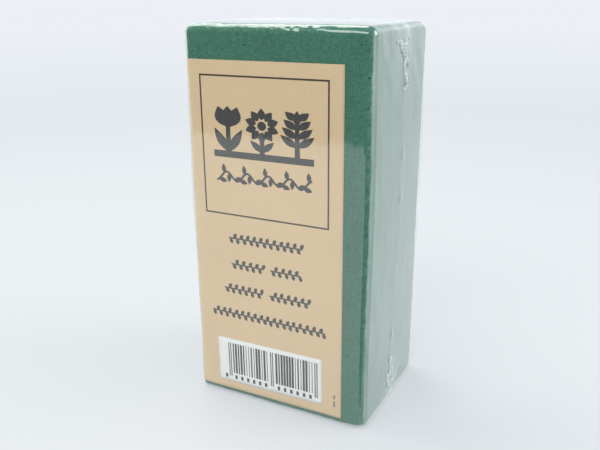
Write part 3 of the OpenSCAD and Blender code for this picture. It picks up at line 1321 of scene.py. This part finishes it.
def make_camera(settings):
    lens = bpy.data.cameras.new("Camera")
    lens.lens = settings.lens
    lens.sensor_width = 36
    lens.clip_start, lens.clip_end = 0.01, 100
    matrix = Matrix.Translation(settings.eye)
    for turn, axis in ((settings.heading, "Z"), (math.pi / 2 - settings.pitch, "X"),
                       (settings.roll, "Z")):
        matrix = matrix @ Matrix.Rotation(turn, 4, axis)
    bpy.context.scene.camera = link_object("Camera", lens, matrix)


# ---- operators


class FOAMBRICK_OT_foam(bpy.types.Operator):
    """Builds the block of foam and the crumbs on its edges."""

    bl_idname = "foambrick.foam"
    bl_label = "Foam block"

    def execute(self, context):
        settings = context.scene.foam_brick_foam
        block = make_foam(settings)
        material = crumb_material(settings)
        seedbed = new_object("seedbed", block.data.copy())
        crumbs = run_tree(seedbed, crumb_tree(), "foam_crumbs", Density=90000.0,
                          Crumb_Size=0.16 * MM, Seed=3, Material=material)
        if not crumbs.data.polygons:
            raise RuntimeError("no crumbs were scattered")
        finish_piece(crumbs, material, "phenolic_foam")
        return {"FINISHED"}


class FOAMBRICK_OT_label(bpy.types.Operator):
    """Builds the paper label and everything printed on it."""

    bl_idname = "foambrick.label"
    bl_label = "Paper label"

    def execute(self, context):
        settings = context.scene.foam_brick_label
        paper = paper_material("Kraft paper", settings.paper_colour, 0.32 * MM, 0.07, 0.35)
        label = front_sheet("label_paper", LABEL_LO, LABEL_HI, LABEL_PROUD,
                            settings.paper_thickness, 1.4 * MM, settings.turn, 0.06 * MM)
        finish_piece(label, paper, "kraft_paper", "paper_label")
        ink = ink_material("Dark ink", settings.ink_colour)
        line_ink = ink_material("Brown ink", settings.line_colour)
        printed = []
        for name, outlines, colour in (
                ("label_frame", label_frame_outlines(settings), line_ink),
                ("label_emblem", emblem_outlines(), ink),
                ("label_tendril", tendril_outlines(), ink),
                ("label_code", code_outlines(), line_ink)):
            front = LABEL_LO.y - settings.ink_thickness
            printed.append((slab_object(name, outlines, LABEL_LO.y, front), colour))
        printed.append((make_leaf_rows(settings, ink), ink))
        for piece, colour in printed:
            piece.data.transform(turned_about(LABEL_MID, settings.turn))
            finish_piece(piece, colour, "kraft_paper")
        return {"FINISHED"}


class FOAMBRICK_OT_sticker(bpy.types.Operator):
    """Builds the white sticker and its bars."""

    bl_idname = "foambrick.sticker"
    bl_label = "Barcode sticker"

    def execute(self, context):
        settings = context.scene.foam_brick_sticker
        paper = paper_material("White paper", settings.paper_colour, 0.22 * MM, 0.02, 0.0)
        thickness = 0.04 * MM
        sheet = front_sheet("sticker_paper", STICKER_LO, STICKER_HI, LABEL_PROUD + thickness,
                            thickness, 2 * MM, settings.turn)
        finish_piece(sheet, paper, "white_paper", "barcode_sticker")
        ink = ink_material("Bar ink", settings.bar_colour)
        bars = make_bars(settings, ink, 0.03 * MM)
        bars.data.transform(Matrix.Translation((0, -thickness, 0)))
        bars.data.transform(turned_about(STICKER_MID, settings.turn))
        finish_piece(bars, ink, "white_paper")
        return {"FINISHED"}


class FOAMBRICK_OT_film(bpy.types.Operator):
    """Builds the shrink film with its welds and gathered ears."""

    bl_idname = "foambrick.film"
    bl_label = "Shrink film"

    def execute(self, context):
        settings = context.scene.foam_brick_film
        clear = film_material("Clear film", settings, haze=settings.haze, crease=0.0,
                              strength=0.35, roughness=0.05)
        weld = film_material("Film weld", settings, haze=0.14, crease=0.4, strength=0.5,
                             roughness=0.12)
        creased = film_material("Gathered film", settings, haze=0.08, crease=1.0, strength=0.7,
                                roughness=0.1, fades=True)
        make_film(settings, clear)
        make_welds(settings, weld)
        for node, side, top, lo, hi in EARS:
            make_ear(node, side, top, lo, hi, settings, creased)
        return {"FINISHED"}


class FOAMBRICK_OT_stage(bpy.types.Operator):
    """Builds the table, the lights and the camera."""

    bl_idname = "foambrick.stage"
    bl_label = "Stage"

    def execute(self, context):
        settings = context.scene.foam_brick_stage
        context.scene.view_settings.view_transform = "Standard"
        reach = 12.0
        floor = mesh_object("table_top", [(-reach, -reach, 0), (reach, -reach, 0),
                                          (reach, reach, 0), (-reach, reach, 0)], [(0, 1, 2, 3)])
        floor.data.materials.append(floor_material(settings))
        room_world()
        middle = (0, 0, FOAM_HI.z / 2)
        area_light("Overhead softbox", (-0.68, 0.2, 1.2), middle, (1.35, 0.5), 10, (1, 0.99, 0.97))
        area_light("Right softbox", (1.3, 0.5, 0.9), middle, (0.9, 1.0), 12, (0.97, 0.99, 1))
        area_light("Front fill", (-0.15, -1.15, 1.25), middle, (1.2, 0.7), 10, (1, 0.99, 0.97))
        make_camera(settings)
        return {"FINISHED"}


class FOAMBRICK_PT_panel(bpy.types.Panel):
    """Lists the steps that build the brick."""

    bl_idname = "FOAMBRICK_PT_panel"
    bl_label = "Floral foam brick"
    bl_space_type = "VIEW_3D"
    bl_region_type = "UI"
    bl_category = "Foam Brick"

    def draw(self, context):
        for operator in OPERATORS:
            self.layout.operator(operator.bl_idname)


OPERATORS = (FOAMBRICK_OT_stage, FOAMBRICK_OT_foam, FOAMBRICK_OT_label, FOAMBRICK_OT_sticker,
             FOAMBRICK_OT_film)
CLASSES = (*SETTINGS.values(), *OPERATORS, FOAMBRICK_PT_panel)


def register():
    for cls in CLASSES:
        bpy.utils.register_class(cls)
    for name, cls in SETTINGS.items():
        setattr(bpy.types.Scene, name, bpy.props.PointerProperty(type=cls))


def unregister():
    for name in SETTINGS:
        delattr(bpy.types.Scene, name)
    for cls in reversed(CLASSES):
        bpy.utils.unregister_class(cls)


def main():
    register()
    bpy.ops.foambrick.stage()
    bpy.ops.foambrick.foam()
    bpy.ops.foambrick.label()
    bpy.ops.foambrick.sticker()
    bpy.ops.foambrick.film()


if __name__ == "__main__":
    main()
